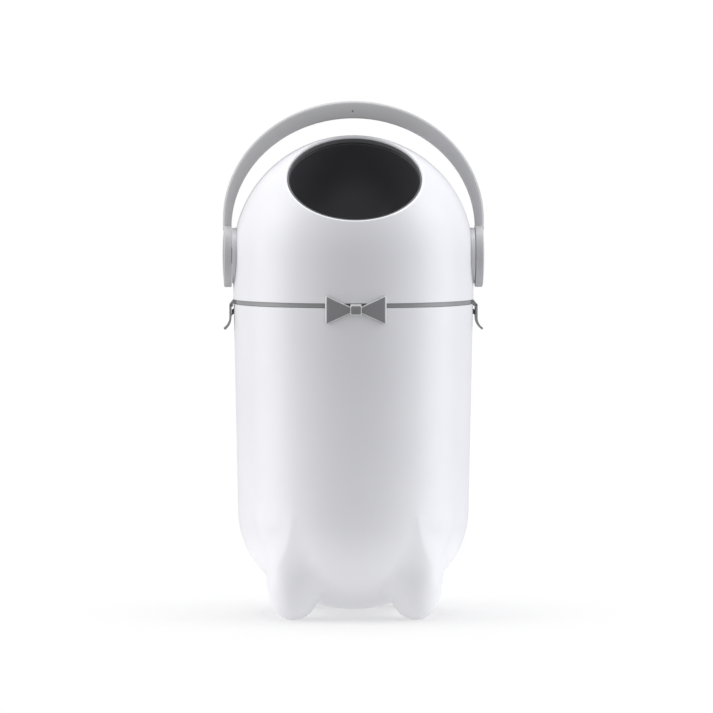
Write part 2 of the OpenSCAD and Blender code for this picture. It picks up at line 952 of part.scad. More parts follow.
bin_shell();
front_left_foot();
front_right_foot();
rear_left_foot();
rear_right_foot();
bow_wings();
bow_knot();
bag_ring();
dome_shell();
inlet_ring();
inlet_seal();
collar_ring();
head_gasket();
left_bush();
right_bush();
left_clip_pin();
right_clip_pin();
left_clip();
right_clip();
drum_front();
drum_rear();
left_axle();
right_axle();
handle();
left_screw();
right_screw();
left_hub_cap();
right_hub_cap();
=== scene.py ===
"""Finishes, smooth shells, light and camera for the nappy bin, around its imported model."""
import json
import math

import bmesh
import bpy
import numpy as np
from mathutils import Matrix, Vector


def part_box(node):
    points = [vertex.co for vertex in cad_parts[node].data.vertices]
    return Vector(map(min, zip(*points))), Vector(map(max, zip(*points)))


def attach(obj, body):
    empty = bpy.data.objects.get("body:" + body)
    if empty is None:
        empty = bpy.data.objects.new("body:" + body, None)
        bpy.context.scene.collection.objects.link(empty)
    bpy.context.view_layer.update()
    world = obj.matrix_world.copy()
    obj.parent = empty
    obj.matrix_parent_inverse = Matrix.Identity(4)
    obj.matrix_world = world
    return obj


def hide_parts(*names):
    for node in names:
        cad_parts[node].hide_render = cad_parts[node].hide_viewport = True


MM = 0.001

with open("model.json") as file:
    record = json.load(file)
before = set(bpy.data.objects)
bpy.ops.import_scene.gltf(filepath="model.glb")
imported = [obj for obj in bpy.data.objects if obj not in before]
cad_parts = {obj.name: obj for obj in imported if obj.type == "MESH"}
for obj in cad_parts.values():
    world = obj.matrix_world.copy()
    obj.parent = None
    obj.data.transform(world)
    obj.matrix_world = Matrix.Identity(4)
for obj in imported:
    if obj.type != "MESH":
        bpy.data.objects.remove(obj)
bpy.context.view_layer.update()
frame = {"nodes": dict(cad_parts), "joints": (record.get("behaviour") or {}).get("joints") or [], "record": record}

# ---- Sizes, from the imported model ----

bin_low, bin_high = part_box("bin_shell")
knot_low, knot_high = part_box("bow_knot")
wings_low, wings_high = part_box("bow_wings")
handle_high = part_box("handle")[1]
dome_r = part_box("dome_shell")[1].y

pivot_z = next(j["pos_m"][2] for j in frame["joints"] if j["name"] == "handle_turn")
pin_x, _, pin_z = next(j["pos_m"] for j in frame["joints"] if j["name"] == "right_clip_turn")
foot_offset = max(m["pos_m"][0] for m in frame["record"]["mounts"])
rim_z = bin_high.z
belly_z = bin_low.z

# The source's own sizes that the frame doesn't hold.
DOME_OVER = 0.5 * MM
BIN_WALL = 2.6 * MM
BIN_TAPER = 4.8 * MM
BOWL_Z = 117.2 * MM
INLET_ANGLE = 53

bin_r = dome_r - DOME_OVER
waist_r = bin_r - BIN_TAPER
inlet_axis = Matrix.Translation((0, 0, pivot_z)) @ Matrix.Rotation(math.radians(90 - INLET_ANGLE), 4, "X")


# ---- Materials ----

COLOR_SCALE = 9
GLOSS_SCALE = 38
GRAIN_SCALE = 1400
GRAIN_DEPTH = 0.05 * MM
EDGE_SOFT = 0.5 * MM
# The gate mark's dimple is drawn as a darker spot of painted shade, with no dent in the mesh.
MARK_PLACE = (-1 * MM, -12 * MM, handle_high.z - 11.5 * MM)
MARK_R = 1.6 * MM
GATE_SHADE_COLOR = (0.16, 0.16, 0.17, 1)


def new_material(name):
    """A new node material, with its nodes, its links and its shader."""
    material = bpy.data.materials.new(name)
    material.use_nodes = True
    nodes = material.node_tree.nodes
    return material, nodes, material.node_tree.links, nodes["Principled BSDF"]


def noise(nodes, links, scale, detail=2.0, roughness=0.5):
    """A noise texture in the object's own coordinates, which are metres."""
    place = nodes.new("ShaderNodeTexCoord")
    texture = nodes.new("ShaderNodeTexNoise")
    texture.inputs["Scale"].default_value = scale
    texture.inputs["Detail"].default_value = detail
    texture.inputs["Roughness"].default_value = roughness
    links.new(place.outputs["Object"], texture.inputs["Vector"])
    return texture.outputs["Fac"]


def ramp(nodes, links, source, low, high):
    """Maps a noise value to the range low to high, as a number."""
    node = nodes.new("ShaderNodeMapRange")
    node.inputs["From Min"].default_value = 0.3
    node.inputs["From Max"].default_value = 0.7
    node.inputs["To Min"].default_value = low
    node.inputs["To Max"].default_value = high
    links.new(source, node.inputs["Value"])
    return node.outputs["Result"]


def tint(nodes, links, source, dark, light):
    """Mixes two colours by a noise value."""
    node = nodes.new("ShaderNodeMix")
    node.data_type = "RGBA"
    node.inputs["A"].default_value = (*dark, 1)
    node.inputs["B"].default_value = (*light, 1)
    links.new(ramp(nodes, links, source, 0, 1), node.inputs["Factor"])
    return node.outputs["Result"]


def bump(nodes, links, source, strength, distance):
    """A bump from a noise value, with its depth in metres."""
    node = nodes.new("ShaderNodeBump")
    node.inputs["Strength"].default_value = strength
    node.inputs["Distance"].default_value = distance
    links.new(source, node.inputs["Height"])
    return node.outputs["Normal"]


def soft_edges(nodes, links, radius):
    """The surface's normal, rounded over sharp edges by a radius."""
    node = nodes.new("ShaderNodeBevel")
    node.samples = 4
    node.inputs["Radius"].default_value = radius
    return node.outputs["Normal"]


def paint_gate_shade(nodes, links, color):
    """Darkens a colour in the small spot on the handle where the plastic was let into the mould: painted shade
    standing in for the gate mark's shallow dimple, which the mesh doesn't have.
    """
    position = nodes.new("ShaderNodeTexCoord")
    apart = nodes.new("ShaderNodeVectorMath")
    apart.operation = "DISTANCE"
    apart.inputs[1].default_value = MARK_PLACE
    links.new(position.outputs["Object"], apart.inputs[0])
    spot = nodes.new("ShaderNodeMapRange")
    spot.interpolation_type = "SMOOTHSTEP"
    spot.inputs["From Min"].default_value = 0.4 * MARK_R
    spot.inputs["From Max"].default_value = MARK_R
    links.new(apart.outputs["Value"], spot.inputs["Value"])
    mix = nodes.new("ShaderNodeMix")
    mix.data_type = "RGBA"
    mix.inputs["A"].default_value = GATE_SHADE_COLOR
    links.new(spot.outputs["Result"], mix.inputs["Factor"])
    links.new(color, mix.inputs["B"])
    return mix.outputs["Result"]


def plastic(name, dark, light, rough, grain=0.25, with_gate_shade=False):
    """Moulded plastic: slow colour and gloss variation, fine mould grain and softened edges."""
    material, nodes, links, shader = new_material(name)
    slow = noise(nodes, links, COLOR_SCALE, 3)
    patches = noise(nodes, links, GLOSS_SCALE, 4, 0.6)
    fine = noise(nodes, links, GRAIN_SCALE, 2)
    color = tint(nodes, links, slow, dark, light)
    if with_gate_shade:
        color = paint_gate_shade(nodes, links, color)
    links.new(color, shader.inputs["Base Color"])
    links.new(ramp(nodes, links, patches, rough - 0.04, rough + 0.05), shader.inputs["Roughness"])
    normal = bump(nodes, links, fine, grain, GRAIN_DEPTH)
    links.new(soft_edges(nodes, links, EDGE_SOFT), normal.node.inputs["Normal"])
    links.new(normal, shader.inputs["Normal"])
    return material


def rubber(name):
    """Soft black rubber with a dusty bloom."""
    material, nodes, links, shader = new_material(name)
    bloom = noise(nodes, links, 60, 5, 0.65)
    color = tint(nodes, links, bloom, (0.02, 0.02, 0.021), (0.05, 0.05, 0.052))
    links.new(color, shader.inputs["Base Color"])
    links.new(ramp(nodes, links, bloom, 0.6, 0.78), shader.inputs["Roughness"])
    links.new(bump(nodes, links, noise(nodes, links, 900, 3), 0.3, 0.08 * MM), shader.inputs["Normal"])
    return material


def steel(name):
    """Blackened steel with fine drawn lines along Y."""
    material, nodes, links, shader = new_material(name)
    place = nodes.new("ShaderNodeTexCoord")
    stretch = nodes.new("ShaderNodeMapping")
    stretch.inputs["Scale"].default_value = (1, 0.03, 1)
    lines = nodes.new("ShaderNodeTexNoise")
    lines.inputs["Scale"].default_value = 2600
    links.new(place.outputs["Object"], stretch.inputs["Vector"])
    links.new(stretch.outputs["Vector"], lines.inputs["Vector"])
    color = tint(nodes, links, lines.outputs["Fac"], (0.16, 0.16, 0.165), (0.22, 0.22, 0.225))
    links.new(color, shader.inputs["Base Color"])
    links.new(ramp(nodes, links, lines.outputs["Fac"], 0.24, 0.4), shader.inputs["Roughness"])
    links.new(bump(nodes, links, lines.outputs["Fac"], 0.2, 0.03 * MM), shader.inputs["Normal"])
    shader.inputs["Metallic"].default_value = 1.0
    return material


# One finish for each material slot of the record, then those of single pieces.
FINISHES = {
    "white_shell": plastic("white_shell", (0.825, 0.825, 0.855), (0.85, 0.85, 0.875), 0.36),
    "grey_trim": plastic("grey_trim", (0.285, 0.285, 0.295), (0.31, 0.31, 0.318), 0.38),
    "dark_inner": plastic("dark_inner", (0.16, 0.16, 0.165), (0.18, 0.18, 0.186), 0.42),
    "soft_seal": rubber("soft_seal"),
    "steel": steel("steel"),
}
# The handle's grey carries the painted shade of the gate mark.
handle_grey = plastic("handle_grey", (0.51, 0.51, 0.52), (0.54, 0.54, 0.55), 0.4, with_gate_shade=True)
bow_grey = plastic("bow_grey", (0.24, 0.24, 0.252), (0.26, 0.26, 0.272), 0.36)
# A lighter copy of the bow tie's grey, used as a painted highlight on its edges.
bow_edge_painted_highlight = plastic("bow_edge_painted_highlight", (0.60, 0.60, 0.60), (0.65, 0.65, 0.65), 0.3)
# A darker copy of the drum's dark plastic for the bowl: partly the plastic's own dark grey, partly painted shade
# for the bowl's deep inside.
bowl_dark_painted_shade = plastic("bowl_dark_painted_shade", (0.06, 0.06, 0.068), (0.07, 0.07, 0.078), 0.36, 0.1)


def finish_cad_nodes():
    """Gives every CAD node the finish of its slot in the record."""
    for part in frame["record"]["subparts"]:
        mesh = frame["nodes"][part["node"]].data
        mesh.materials.clear()
        mesh.materials.append(FINISHES[part["material_slot"]])


# ---- Meshes ----

def add_object(name, mesh, finish, body, *replaced, material=None):
    """Links a mesh as a piece of the bin: its finish, the body it rides on and what it stands for."""
    piece = bpy.data.objects.new(name, mesh)
    bpy.context.scene.collection.objects.link(piece)
    mesh.materials.clear()
    mesh.materials.append(material or FINISHES[finish])
    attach(piece, body)
    if replaced:
        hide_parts(*replaced)
    return piece


def smooth(mesh, angle=40):
    """Smooth shading, with sharp edges where faces meet at more than the angle, in degrees."""
    mesh.shade_smooth()
    mesh.set_sharp_from_angle(angle=math.radians(angle))


def grid_mesh(name, rows, close_rows=False, close_columns=True):
    """A mesh of quads over rows of points; it may close along the rows and across the columns."""
    points = np.array(rows)
    count, width, _ = points.shape
    row_steps = count if close_rows else count - 1
    column_steps = width if close_columns else width - 1
    faces = []
    for i in range(row_steps):
        for j in range(column_steps):
            k, m = (i + 1) % count, (j + 1) % width
            faces.append((i * width + j, i * width + m, k * width + m, k * width + j))
    mesh = bpy.data.meshes.new(name)
    mesh.from_pydata(points.reshape(-1, 3).tolist(), [], faces)
    mesh.validate()
    return mesh


def fix_normals(mesh):
    """Turns all faces of a closed mesh outwards."""
    work = bmesh.new()
    work.from_mesh(mesh)
    bmesh.ops.recalc_face_normals(work, faces=work.faces)
    work.to_mesh(mesh)
    work.free()


def welded(mesh, distance):
    """The mesh with its double points merged and all faces outwards."""
    work = bmesh.new()
    work.from_mesh(mesh)
    bmesh.ops.remove_doubles(work, verts=work.verts, dist=distance)
    bmesh.ops.recalc_face_normals(work, faces=work.faces)
    work.to_mesh(mesh)
    work.free()
    return mesh


def applied(piece):
    """The piece's mesh with its modifiers applied."""
    bpy.context.view_layer.update()
    graph = bpy.context.evaluated_depsgraph_get()
    return bpy.data.meshes.new_from_object(piece.evaluated_get(graph))


# ---- Shared shapes ----

def joined(name, meshes):
    """One mesh made of several."""
    work = bmesh.new()
    for mesh in meshes:
        work.from_mesh(mesh)
    whole = bpy.data.meshes.new(name)
    work.to_mesh(whole)
    work.free()
    return whole


def moved(mesh, matrix):
    """The mesh, moved by a matrix, with its faces outwards."""
    mesh.transform(matrix)
    fix_normals(mesh)
    return mesh


def arc(x, z, r, start, end, steps):
    """Points of an arc about (x, z) between two angles in degrees."""
    return [(x + r * math.cos(t), z + r * math.sin(t))
            for t in np.linspace(math.radians(start), math.radians(end), steps)]


def turned(profile, steps):
    """Rows of points, made by turning (radius, height) points round the Z axis."""
    angles = np.linspace(0, 2 * math.pi, steps, False)
    return [[(r * math.cos(t), r * math.sin(t), z) for t in angles] for r, z in profile]


def turned_solid(name, profile, steps=96):
    """A solid turned from a profile that starts and ends on the Z axis."""
    return welded(grid_mesh(name, turned(profile, steps)), 1e-7)


def turned_ring(name, section, steps=128):
    """A ring turned round the Z axis from a closed section."""
    return grid_mesh(name, turned(section, steps), close_rows=True)


def prism(name, outline, low, high, bevel):
    """A prism along Y over an outline of (x, z) points, with rounded edges."""
    work = bmesh.new()
    face = work.faces.new([work.verts.new((x, low, z)) for x, z in outline])
    grown = bmesh.ops.extrude_face_region(work, geom=[face])["geom"]
    far_side = [v for v in grown if isinstance(v, bmesh.types.BMVert)]
    bmesh.ops.translate(work, vec=(0, high - low, 0), verts=far_side)
    bmesh.ops.recalc_face_normals(work, faces=work.faces)
    sharp = [e for e in work.edges if e.calc_face_angle(0) > math.radians(30)]
    bmesh.ops.bevel(work, geom=sharp, offset=bevel, segments=3, profile=0.5, affect="EDGES",
                    clamp_overlap=True)
    mesh = bpy.data.meshes.new(name)
    work.to_mesh(mesh)
    work.free()
    return mesh


ON_RIGHT = Matrix.Identity(4)
ON_LEFT = Matrix.Rotation(math.pi, 4, "Z")


# ---- Bin body with blended feet ----

FOOT_R = 30.2 * MM
FOOT_BELLY_H = 48 * MM
FOOT_SIDE_R = 91 * MM
SOLE_R = 5 * MM
FOOT_BLEND = 125 * MM
FOOT_CORNER = 17 * MM
FEET = ("front_left_foot", "front_right_foot", "rear_left_foot", "rear_right_foot")
ROUGH_FOOT_TOP = 85 * MM
# Shares of the foot's radius and of its height.
ROUGH_FOOT_SIDE = ((1, 1), (0.93, 0.6), (0.66, 0.25))
VOXEL = 2.4 * MM
CUT_OVER_BOWL = 3 * MM
# Half the distance over which the blended body's gradient is measured.
PROBE = 5e-5
LEDGE_DROP = 26 * MM
LEDGE_W = 4 * MM
LEDGE_T = 2 * MM
LEDGE_SOFT = 1 * MM
LEDGE_ROOT = 9 * MM
LEDGE_CLEAR = 14 * MM

foot_side_x = FOOT_R - FOOT_SIDE_R
foot_tip_r = (FOOT_SIDE_R**2 - foot_side_x**2 - FOOT_BELLY_H**2) / (2 * (FOOT_SIDE_R - FOOT_BELLY_H))
foot_tip_z = math.sqrt(foot_tip_r**2 - SOLE_R**2)
foot_belly_z = FOOT_BELLY_H - foot_tip_r + foot_tip_z


def bin_radius(z):
    """Outer radius of the tapered wall at a height."""
    return waist_r + (bin_r - waist_r) * (z - BOWL_Z) / (rim_z - BOWL_Z)


def bowl_distance(p):
    """Rough signed distance of points from the rounded bottom."""
    across, down = waist_r, BOWL_Z - belly_z
    r = np.hypot(p[:, 0], p[:, 1])
    z = np.minimum(p[:, 2] - BOWL_Z, 0)
    k0 = np.hypot(r / across, z / down)
    k1 = np.hypot(r / across**2, z / down**2)
    return np.where(p[:, 2] < BOWL_Z, k0 * (k0 - 1) / k1, r - bin_radius(p[:, 2]))


def foot_distance(p):
    """Signed distance of points from the nearest foot."""
    x = np.abs(p[:, 0]) - foot_offset
    y = np.abs(p[:, 1]) - foot_offset
    r = np.hypot(x, y)
    z = p[:, 2]
    tip = np.hypot(r, z - foot_tip_z) - foot_tip_r
    side = np.hypot(r - foot_side_x, z - foot_belly_z) - FOOT_SIDE_R
    below = r * (foot_belly_z - foot_tip_z) + (z - foot_tip_z) * -foot_side_x < 0
    return np.where(z > foot_belly_z, r - FOOT_R, np.where(below, tip, side))


def slope(field, p, step=1e-5):
    """Gradient of a field at points."""
    axes = np.eye(3) * step
    return np.stack([(field(p + a) - field(p - a)) / (2 * step) for a in axes], 1)


def body_distance(p):
    """Distance from the bin with its feet, with a wide fillet that tightens in steep corners."""
    a, b = bowl_distance(p), foot_distance(p)
    na, nb = slope(bowl_distance, p), slope(foot_distance, p)
    alike = (na * nb).sum(1) / (np.linalg.norm(na, axis=1) * np.linalg.norm(nb, axis=1) + 1e-9)
    reach = np.clip(FOOT_BLEND * (1 - alike), 1e-6, FOOT_CORNER)
    h = np.clip(0.5 + 0.5 * (b - a) / reach, 0, 1)
    return b + (a - b) * h - reach * h * (1 - h)


def settle(p, level, rounds=6):
    """Moves points onto the surface at a distance from the blended body."""
    for _ in range(rounds):
        g = slope(body_distance, p, PROBE)
        p = p - ((body_distance(p) - level) / np.maximum((g * g).sum(1), 0.2))[:, None] * g
    return p


def rough_bottom(top):
    """The bowl and the four feet as coarse solids that overlap, up to a height."""
    quarter = np.linspace(0, math.pi / 2, 30)
    bowl = [(waist_r * math.cos(t), BOWL_Z - (BOWL_Z - belly_z) * math.sin(t)) for t in quarter]
    solids = [turned_solid("bowl", [(0, top), (waist_r, top), *bowl[:-1], (0, belly_z)])]
    side = [(FOOT_R * across, foot_belly_z * up) for across, up in ROUGH_FOOT_SIDE]
    foot = [(0, ROUGH_FOOT_TOP), (FOOT_R, ROUGH_FOOT_TOP), *side, (SOLE_R, 0), (0, 0)]
    for sx in (-1, 1):
        for sy in (-1, 1):
            one = turned_solid("foot", foot, 48)
            one.transform(Matrix.Translation((sx * foot_offset, sy * foot_offset, 0)))
            solids.append(one)
    return joined("rough_bottom", solids)


def even_bottom(cut_z, voxel):
    """Points and faces of the rough bottom as one even skin, open at the height of the cut."""
    rough = bpy.data.objects.new("rough_bottom", rough_bottom(cut_z + 4 * voxel))
    bpy.context.scene.collection.objects.link(rough)
    remesh = rough.modifiers.new("even", "REMESH")
    remesh.mode = "VOXEL"
    remesh.voxel_size = voxel
    even = applied(rough)
    bpy.data.objects.remove(rough)
    work = bmesh.new()
    work.from_mesh(even)
    geometry = [*work.verts, *work.edges, *work.faces]
    bmesh.ops.bisect_plane(work, geom=geometry, dist=1e-6, plane_co=(0, 0, cut_z), plane_no=(0, 0, 1),
                           clear_outer=True)
    work.verts.index_update()
    places = np.array([v.co for v in work.verts])
    faces = [[v.index for v in f.verts] for f in work.faces]
    work.free()
    return places, faces


def bottom_shells(places, cut_z):
    """Outer and inner points of the blended bottom, and the angles of those that lie at the cut."""
    outer = settle(places, 0)
    inner = settle(outer - slope(body_distance, outer, PROBE) * BIN_WALL, -BIN_WALL)
    at_cut = np.abs(places[:, 2] - cut_z) < 1e-5
    angles = np.arctan2(places[at_cut, 1], places[at_cut, 0])
    for shell, r in ((outer, bin_radius(cut_z)), (inner, bin_radius(cut_z) - BIN_WALL)):
        shell[at_cut] = np.stack([r * np.cos(angles), r * np.sin(angles), np.full(len(angles), cut_z)], 1)
    outer[:, 2] = np.maximum(outer[:, 2], 0)
    inner[:, 2] = np.maximum(inner[:, 2], BIN_WALL)
    order = np.argsort(angles)
    return outer, inner, np.flatnonzero(at_cut)[order], angles[order]


def wall_profile(cut_z):
    """(radius, height) points up the bin's outer wall, over its rim and down inside past the ledge."""
    lip = BIN_WALL / 2
    outside = [(bin_radius(z), z) for z in np.linspace(cut_z, rim_z - BIN_WALL, 14)[1:]]
    over = arc(bin_r - lip, rim_z - lip, lip, 0, 180, 9)
    ledge_z = rim_z - LEDGE_DROP
    inner = bin_radius(ledge_z) - BIN_WALL
    ledge = [(inner, ledge_z + LEDGE_SOFT), (inner - 0.6 * LEDGE_SOFT, ledge_z), (inner - LEDGE_W, ledge_z),
             (inner - LEDGE_W, ledge_z - LEDGE_T), (inner - 0.2 * LEDGE_SOFT, ledge_z - LEDGE_ROOT)]
    inside = [(bin_radius(z) - BIN_WALL, z) for z in np.linspace(ledge_z - LEDGE_CLEAR, cut_z, 12)]
    return [*outside, *over, *ledge, *inside[:-1]]


def join_rows(low, high):
    """Quads between two closed rows of vertices."""
    count = len(low)
    return [(low[i], low[(i + 1) % count], high[(i + 1) % count], high[i]) for i in range(count)]


def bin_body():
    """The bin: blended feet, rounded bottom, tapered wall, rim, ledge and hollow inside."""
    cut_z = BOWL_Z + CUT_OVER_BOWL
    places, faces = even_bottom(cut_z, VOXEL)
    outer, inner, ring, angles = bottom_shells(places, cut_z)
    count = len(outer)
    points = [*outer, *inner]
    polygons = [*faces, *[[count + v for v in reversed(f)] for f in faces]]
    last = list(ring)
    for r, z in wall_profile(cut_z):
        row = list(range(len(points), len(points) + len(ring)))
        points += [(r * math.cos(t), r * math.sin(t), z) for t in angles]
        polygons += join_rows(last, row)
        last = row
    polygons += join_rows(last, [count + v for v in ring])
    mesh = bpy.data.meshes.new("bin_body")
    mesh.from_pydata([tuple(float(c) for c in p) for p in points], [], polygons)
    mesh.validate()
    fix_normals(mesh)
    smooth(mesh, 50)
    add_object("bin_body", mesh, "white_shell", "bin", "bin_shell", *FEET)


# ---- Catches on the bin ----

CATCH_W = 18 * MM
CATCH_H = 6 * MM
CATCH_DROP = 10.2 * MM
CATCH_OUT = 0.6 * MM
CATCH_SLOPE = 1.6 * MM
CATCH_TOP = 0.2 * MM
CATCH_SOFT = 0.35 * MM


def catches():
    """The two catches under the clips, with sloped tops, in the dark finish as painted shade: it stands in for the
    shadow between each clip and the bin.
    """
    low = pin_z - CATCH_DROP
    high = low + CATCH_H
    in_x = bin_r - BIN_WALL / 2
    out_x = pin_x - CATCH_OUT
    slope_start = (out_x, high - CATCH_SLOPE)
    outline = [(in_x, low), (out_x, low), slope_start, (bin_r - CATCH_TOP, high), (in_x, high)]
    for name, side in (("left_catch", ON_LEFT), ("right_catch", ON_RIGHT)):
        mesh = moved(prism(name, outline, -CATCH_W / 2, CATCH_W / 2, CATCH_SOFT), side)
        smooth(mesh, 35)
        # The dark finish here is painted shade, not the catches' own colour.
        add_object(name, mesh, "dark_inner", "bin")


# ---- Bowl in the drum's mouth ----

BOWL_R = 73.2 * MM
BOWL_T = 2 * MM
BOWL_TOP = 102.9 * MM
BOWL_STRAIGHT = 2 * MM
BOWL_DEPTH = 84 * MM


def drum_bowl():
    """The half-round bowl that holds the nappy, flush with the trim ring, in a grey darker than the drum's that is
    partly painted shade.
    """
    edge = BOWL_T / 2
    turn_z = BOWL_TOP - BOWL_STRAIGHT
    quarter = np.linspace(0, math.pi / 2, 26)[:-1]
    inside = [(BOWL_R * math.cos(t), turn_z - BOWL_DEPTH * math.sin(t)) for t in quarter]
    outer_r, outer_depth = BOWL_R + BOWL_T, BOWL_DEPTH + BOWL_T
    outside = [(outer_r * math.cos(t), turn_z - outer_depth * math.sin(t)) for t in quarter]
    rim = arc(BOWL_R + edge, BOWL_TOP - edge, edge, 180, 0, 7)
    profile = [(0, turn_z - BOWL_DEPTH), *inside[::-1], *rim, *outside, (0, turn_z - outer_depth)]
    mesh = moved(turned_solid("drum_bowl", profile, 128), inlet_axis)
    smooth(mesh, 50)
    # The bowl's darker grey is partly painted shade.
    add_object("drum_bowl", mesh, "dark_inner", "rotor", material=bowl_dark_painted_shade)


# ---- Handle ----

STRAP_HALF = 12 * MM
LEG_T = 9.5 * MM
GRIP_T = 19.6 * MM
OUTER_SPRING = 41.3 * MM
INNER_SPRING = 30.4 * MM
HUB_R = 35.7 * MM
HUB_W = 9.7 * MM
HUB_CROWN = 1.2 * MM
HUB_FLOOR = 4.5 * MM
HUB_SOCKET = 3.2 * MM
HUB_SOFT = 1.5 * MM
SOCKET_R = 8.2 * MM
SCREW_HOLE_R = 2.2 * MM
CAP_R = 27.1 * MM
CAP_EDGE = 0.3 * MM
LEG_OVER_CAP = 0.4 * MM
LEG_SOFT = 1.2 * MM
LEG_SINK = 0.2 * MM
OUTER_ROUND = 4.2 * MM
INNER_ROUND = 1.5 * MM
CROWN_AT = 0.38
CROWN_FALL = 2.0 * MM
STRAP_STEPS = 112

hub_out_x = handle_high.x
hub_in_x = hub_out_x - HUB_W
handle_rise = handle_high.z - pivot_z


def strap_section(length):
    """Section of the handle: (distance from its inner edge, depth) points, with crowned faces."""
    middle = CROWN_AT * length

    def face_y(u):
        return STRAP_HALF - CROWN_FALL * ((u - middle) / (length - middle)) ** 2

    last = length - OUTER_ROUND
    front = arc(INNER_ROUND, face_y(INNER_ROUND) - INNER_ROUND, INNER_ROUND, 180, 90, 5)
    front += [(u, face_y(u)) for u in np.linspace(INNER_ROUND, last, 9)[1:-1]]
    front += arc(last, face_y(last) - OUTER_ROUND, OUTER_ROUND, 80, 0, 7)
    return [(u, -y) for u, y in front] + [(u, y) for u, y in front[::-1]]


def strap_ring(inner, outer):
    """The section placed between an inner and an outer point of the handle, given as (x, z)."""
    inner, outer = np.array(inner), np.array(outer)
    length = np.linalg.norm(outer - inner)
    along = (outer - inner) / length
    section = strap_section(length)
    return [(inner[0] + along[0] * u, y, pivot_z + inner[1] + along[1] * u) for u, y in section]


def hub_face(r):
    """How far out the hub's crowned face lies at a radius."""
    return hub_out_x - HUB_CROWN * (r / HUB_R) ** 2


def strap():
    """The arch of the handle, from hub to hub."""
    inner_x = hub_out_x - LEG_T
    low = CAP_R + LEG_OVER_CAP
    high = low + LEG_SOFT
    ends = [((inner_x, low), (hub_face(low) - LEG_SINK, low)), ((inner_x, high), (hub_out_x, high))]
    rings = [strap_ring(*end) for end in ends]
    for t in np.linspace(0, math.pi, STRAP_STEPS):
        inner = (inner_x * math.cos(t), INNER_SPRING + (handle_rise - GRIP_T - INNER_SPRING) * math.sin(t))
        outer = (hub_out_x * math.cos(t), OUTER_SPRING + (handle_rise - OUTER_SPRING) * math.sin(t))
        rings.append(strap_ring(inner, outer))
    rings += [strap_ring(*[(-x, z) for x, z in end]) for end in ends[::-1]]
    mesh = grid_mesh("strap", rings)
    work = bmesh.new()
    work.from_mesh(mesh)
    bmesh.ops.holes_fill(work, edges=[e for e in work.edges if e.is_boundary])
    work.to_mesh(mesh)
    work.free()
    return mesh


def hub(side):
    """One hub: crowned face with rounded edges, recess for the cap and socket for the axle."""
    floor_x = hub_in_x + HUB_FLOOR
    socket_x = hub_in_x + HUB_SOCKET
    half_soft = HUB_SOFT / 2
    section = [(SOCKET_R, hub_in_x), *arc(HUB_R - half_soft, hub_in_x + half_soft, half_soft, -90, 0, 5),
               *arc(HUB_R - HUB_SOFT, hub_face(HUB_R) - HUB_SOFT, HUB_SOFT, 0, 80, 6)]
    section += [(r, hub_face(r)) for r in np.linspace(HUB_R - HUB_SOFT, CAP_R + CAP_EDGE, 5)]
    section += [(CAP_R, hub_face(CAP_R) - CAP_EDGE), (CAP_R, floor_x), (SCREW_HOLE_R, floor_x),
                (SCREW_HOLE_R, socket_x), (SOCKET_R, socket_x)]
    along_x = Matrix.Translation((0, 0, pivot_z)) @ side @ Matrix.Rotation(math.pi / 2, 4, "Y")
    return moved(turned_ring("hub", section), along_x)


def handle():
    """The arched handle with its two hubs."""
    arch = strap()
    fix_normals(arch)
    mesh = joined("handle_arch", [arch, hub(ON_RIGHT), hub(ON_LEFT)])
    smooth(mesh, 35)
    add_object("handle_arch", mesh, "grey_trim", "rotor", "handle", material=handle_grey)


# ---- Bow tie ----

# As large as in the photograph: 2.6 mm higher than the source's, and longer by the lip at each end.
BOW_H = 33.4 * MM
BOW_T = 4 * MM
BOW_WAIST = 7 * MM
BOW_CORNER = 1.8 * MM
BOW_BEVEL = 1.9 * MM
BOW_LIP = 2 * MM
BOW_GAP = 0.5 * MM
BOW_THIN = 0.5 * MM
BEVEL_SLANT = 1.12
KNOT_WRAP = 1 * MM
KNOT_BEVEL = 1.5 * MM
PEG_R = 2.4 * MM
PEG_L = 6 * MM
PEG_SOFT = 0.5 * MM
PEG_X = 17 * MM
PEG_DROP = 5.8 * MM
LOOKS_AHEAD = 0.93

bow_z = (wings_low.z + wings_high.z) / 2
bow_end_x = wings_high.x + BOW_LIP
bow_in_r = dome_r + BOW_GAP
bow_out_r = bow_in_r + BOW_T
knot_half = knot_high.x
neck_x = knot_half - KNOT_WRAP


def bow_half_height(x):
    """Half the bow tie's height at a distance from its middle, with its broken end corners."""
    rise = (BOW_H - BOW_WAIST) / 2 / (bow_end_x - neck_x)
    wing = BOW_WAIST / 2 + rise * max(abs(x) - neck_x, 0)
    past_corner = max(abs(x) - (bow_end_x - BOW_CORNER), 0)
    return wing - past_corner * (1 + rise)


def bow_level(inset, r, columns=21, rows=7):
    """A grid of points over the bow tie's outline, drawn in by an inset, on a round of radius r."""
    grid = []
    wing = [*np.linspace(0, bow_end_x - BOW_CORNER, columns), bow_end_x - BOW_CORNER / 2, bow_end_x]
    for x in [*[-x for x in wing[:0:-1]], *wing]:
        at_x = math.copysign(min(abs(x), bow_end_x - inset), x)
        half = max(bow_half_height(at_x) - BEVEL_SLANT * inset, BOW_THIN)
        at_y = -math.sqrt(r * r - at_x * at_x)
        grid.append([(at_x, at_y, bow_z + half * k) for k in np.linspace(-1, 1, rows)])
    return np.array(grid)


def border(grid):
    """The points round the edge of a grid, in order."""
    return [*grid[0, :-1], *grid[:-1, -1], *grid[-1, :0:-1], *grid[:0:-1, 0]]


def wing_pegs():
    """The two pegs behind the wings that press into the bin."""
    profile = [(0, 0), (PEG_R, 0), (PEG_R, PEG_L - PEG_SOFT), (PEG_R - PEG_SOFT, PEG_L), (0, PEG_L)]
    backwards = Matrix.Rotation(-math.pi / 2, 4, "X")
    return [moved(turned_solid("peg", profile, 32),
                  Matrix.Translation((x, -bow_in_r, bow_z - PEG_DROP)) @ backwards) for x in (-PEG_X, PEG_X)]


